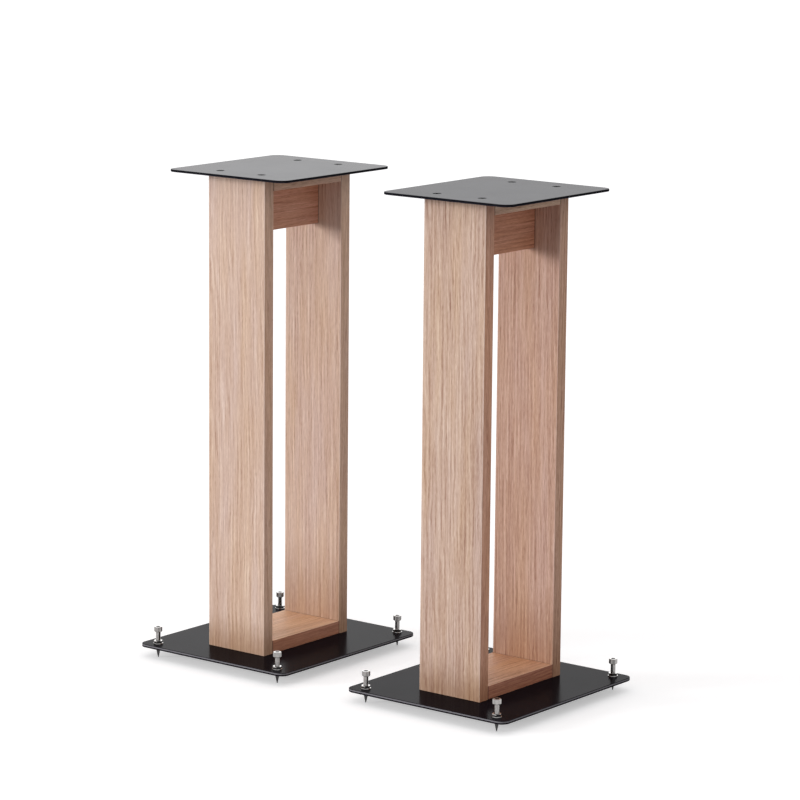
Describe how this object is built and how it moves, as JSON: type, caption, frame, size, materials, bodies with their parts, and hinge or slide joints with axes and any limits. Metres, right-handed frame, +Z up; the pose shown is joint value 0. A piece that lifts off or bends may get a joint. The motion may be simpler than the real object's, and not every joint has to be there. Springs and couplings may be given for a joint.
{
  "type": "pair of speaker stands",
  "caption": "Pair of free-standing speaker stands: open oak frames between black steel top and base plates, levelled on threaded spikes with lock nuts.",
  "frame": {"origin": "on the floor, midway between the two stands", "axes": "+Z up, +X from the left stand to the right stand, +Y from the front panels to the rear panels"},
  "size_m": [0.555, 0.26, 0.6],
  "materials": {
    "black_coat": "satin black powder coat",
    "oak": "matt lacquered oak veneer",
    "beech": "bare fluted dowel",
    "black_screw": "blackened steel",
    "brass": "plain",
    "nickel": "bright nickel plate"
  },
  "bodies": {
    "left_stand": {"left_top_plate": "black_coat", "left_base_plate": "black_coat", "left_front_panel": "oak", "left_rear_panel": "oak", "left_top_board": "oak", "left_bottom_board": "oak", "left_cross_brace": "oak", "left_board_dowels": "beech", "left_brace_dowels": "beech", "left_top_screws": "black_screw", "left_base_screws": "black_screw", "left_top_inserts": "brass", "left_base_inserts": "brass"},
    "left_washer_front_left": {"left_washer_front_left": "nickel"},
    "left_spike_front_left": {"left_spike_front_left": "nickel"},
    "left_lock_nut_front_left": {"left_lock_nut_front_left": "nickel"},
    "left_washer_front_right": {"left_washer_front_right": "nickel"},
    "left_spike_front_right": {"left_spike_front_right": "nickel"},
    "left_lock_nut_front_right": {"left_lock_nut_front_right": "nickel"},
    "left_washer_rear_left": {"left_washer_rear_left": "nickel"},
    "left_spike_rear_left": {"left_spike_rear_left": "nickel"},
    "left_lock_nut_rear_left": {"left_lock_nut_rear_left": "nickel"},
    "left_washer_rear_right": {"left_washer_rear_right": "nickel"},
    "left_spike_rear_right": {"left_spike_rear_right": "nickel"},
    "left_lock_nut_rear_right": {"left_lock_nut_rear_right": "nickel"},
    "right_stand": {"right_top_plate": "black_coat", "right_base_plate": "black_coat", "right_front_panel": "oak", "right_rear_panel": "oak", "right_top_board": "oak", "right_bottom_board": "oak", "right_cross_brace": "oak", "right_board_dowels": "beech", "right_brace_dowels": "beech", "right_top_screws": "black_screw", "right_base_screws": "black_screw", "right_top_inserts": "brass", "right_base_inserts": "brass"},
    "right_washer_front_left": {"right_washer_front_left": "nickel"},
    "right_spike_front_left": {"right_spike_front_left": "nickel"},
    "right_lock_nut_front_left": {"right_lock_nut_front_left": "nickel"},
    "right_washer_front_right": {"right_washer_front_right": "nickel"},
    "right_spike_front_right": {"right_spike_front_right": "nickel"},
    "right_lock_nut_front_right": {"right_lock_nut_front_right": "nickel"},
    "right_washer_rear_left": {"right_washer_rear_left": "nickel"},
    "right_spike_rear_left": {"right_spike_rear_left": "nickel"},
    "right_lock_nut_rear_left": {"right_lock_nut_rear_left": "nickel"},
    "right_washer_rear_right": {"right_washer_rear_right": "nickel"},
    "right_spike_rear_right": {"right_spike_rear_right": "nickel"},
    "right_lock_nut_rear_right": {"right_lock_nut_rear_right": "nickel"}
  },
  "joints": [
    {"name": "stand_spacing", "type": "slide", "parent": "left_stand", "child": "right_stand", "axis": [1, 0, 0], "range_m": [-0.085, 0.23]},
    {"name": "left_spike_turn_front_left", "type": "hinge", "parent": "left_stand", "child": "left_washer_front_left", "pos_m": [-0.2575, -0.116, 0.017], "axis": [0, 0, 1], "range_deg": [-3960, 1080]},
    {"name": "left_spike_height_front_left", "type": "slide", "parent": "left_washer_front_left", "child": "left_spike_front_left", "axis": [0, 0, 1], "range_m": [-0.011, 0.003]},
    {"name": "left_lock_turn_front_left", "type": "hinge", "parent": "left_stand", "child": "left_lock_nut_front_left", "pos_m": [-0.2575, -0.116, 0.017], "axis": [0, 0, 1], "range_deg": [0, 180]},
    {"name": "left_spike_turn_front_right", "type": "hinge", "parent": "left_stand", "child": "left_washer_front_right", "pos_m": [-0.0675, -0.116, 0.017], "axis": [0, 0, 1], "range_deg": [-3960, 1080]},
    {"name": "left_spike_height_front_right", "type": "slide", "parent": "left_washer_front_right", "child": "left_spike_front_right", "axis": [0, 0, 1], "range_m": [-0.011, 0.003]},
    {"name": "left_lock_turn_front_right", "type": "hinge", "parent": "left_stand", "child": "left_lock_nut_front_right", "pos_m": [-0.0675, -0.116, 0.017], "axis": [0, 0, 1], "range_deg": [0, 180]},
    {"name": "left_spike_turn_rear_left", "type": "hinge", "parent": "left_stand", "child": "left_washer_rear_left", "pos_m": [-0.2575, 0.116, 0.017], "axis": [0, 0, 1], "range_deg": [-3960, 1080]},
    {"name": "left_spike_height_rear_left", "type": "slide", "parent": "left_washer_rear_left", "child": "left_spike_rear_left", "axis": [0, 0, 1], "range_m": [-0.011, 0.003]},
    {"name": "left_lock_turn_rear_left", "type": "hinge", "parent": "left_stand", "child": "left_lock_nut_rear_left", "pos_m": [-0.2575, 0.116, 0.017], "axis": [0, 0, 1], "range_deg": [0, 180]},
    {"name": "left_spike_turn_rear_right", "type": "hinge", "parent": "left_stand", "child": "left_washer_rear_right", "pos_m": [-0.0675, 0.116, 0.017], "axis": [0, 0, 1], "range_deg": [-3960, 1080]},
    {"name": "left_spike_height_rear_right", "type": "slide", "parent": "left_washer_rear_right", "child": "left_spike_rear_right", "axis": [0, 0, 1], "range_m": [-0.011, 0.003]},
    {"name": "left_lock_turn_rear_right", "type": "hinge", "parent": "left_stand", "child": "left_lock_nut_rear_right", "pos_m": [-0.0675, 0.116, 0.017], "axis": [0, 0, 1], "range_deg": [0, 180]},
    {"name": "right_spike_turn_front_left", "type": "hinge", "parent": "right_stand", "child": "right_washer_front_left", "pos_m": [0.0675, -0.116, 0.017], "axis": [0, 0, 1], "range_deg": [-3960, 1080]},
    {"name": "right_spike_height_front_left", "type": "slide", "parent": "right_washer_front_left", "child": "right_spike_front_left", "axis": [0, 0, 1], "range_m": [-0.011, 0.003]},
    {"name": "right_lock_turn_front_left", "type": "hinge", "parent": "right_stand", "child": "right_lock_nut_front_left", "pos_m": [0.0675, -0.116, 0.017], "axis": [0, 0, 1], "range_deg": [0, 180]},
    {"name": "right_spike_turn_front_right", "type": "hinge", "parent": "right_stand", "child": "right_washer_front_right", "pos_m": [0.2575, -0.116, 0.017], "axis": [0, 0, 1], "range_deg": [-3960, 1080]},
    {"name": "right_spike_height_front_right", "type": "slide", "parent": "right_washer_front_right", "child": "right_spike_front_right", "axis": [0, 0, 1], "range_m": [-0.011, 0.003]},
    {"name": "right_lock_turn_front_right", "type": "hinge", "parent": "right_stand", "child": "right_lock_nut_front_right", "pos_m": [0.2575, -0.116, 0.017], "axis": [0, 0, 1], "range_deg": [0, 180]},
    {"name": "right_spike_turn_rear_left", "type": "hinge", "parent": "right_stand", "child": "right_washer_rear_left", "pos_m": [0.0675, 0.116, 0.017], "axis": [0, 0, 1], "range_deg": [-3960, 1080]},
    {"name": "right_spike_height_rear_left", "type": "slide", "parent": "right_washer_rear_left", "child": "right_spike_rear_left", "axis": [0, 0, 1], "range_m": [-0.011, 0.003]},
    {"name": "right_lock_turn_rear_left", "type": "hinge", "parent": "right_stand", "child": "right_lock_nut_rear_left", "pos_m": [0.0675, 0.116, 0.017], "axis": [0, 0, 1], "range_deg": [0, 180]},
    {"name": "right_spike_turn_rear_right", "type": "hinge", "parent": "right_stand", "child": "right_washer_rear_right", "pos_m": [0.2575, 0.116, 0.017], "axis": [0, 0, 1], "range_deg": [-3960, 1080]},
    {"name": "right_spike_height_rear_right", "type": "slide", "parent": "right_washer_rear_right", "child": "right_spike_rear_right", "axis": [0, 0, 1], "range_m": [-0.011, 0.003]},
    {"name": "right_lock_turn_rear_right", "type": "hinge", "parent": "right_stand", "child": "right_lock_nut_rear_right", "pos_m": [0.2575, 0.116, 0.017], "axis": [0, 0, 1], "range_deg": [0, 180]}
  ],
  "couplings": [
    {"joint": "left_spike_height_front_left", "follows": "left_spike_turn_front_left", "m_per_rad": 0.00015915},
    {"joint": "left_spike_height_front_right", "follows": "left_spike_turn_front_right", "m_per_rad": 0.00015915},
    {"joint": "left_spike_height_rear_left", "follows": "left_spike_turn_rear_left", "m_per_rad": 0.00015915},
    {"joint": "left_spike_height_rear_right", "follows": "left_spike_turn_rear_right", "m_per_rad": 0.00015915},
    {"joint": "right_spike_height_front_left", "follows": "right_spike_turn_front_left", "m_per_rad": 0.00015915},
    {"joint": "right_spike_height_front_right", "follows": "right_spike_turn_front_right", "m_per_rad": 0.00015915},
    {"joint": "right_spike_height_rear_left", "follows": "right_spike_turn_rear_left", "m_per_rad": 0.00015915},
    {"joint": "right_spike_height_rear_right", "follows": "right_spike_turn_rear_right", "m_per_rad": 0.00015915}
  ]
}
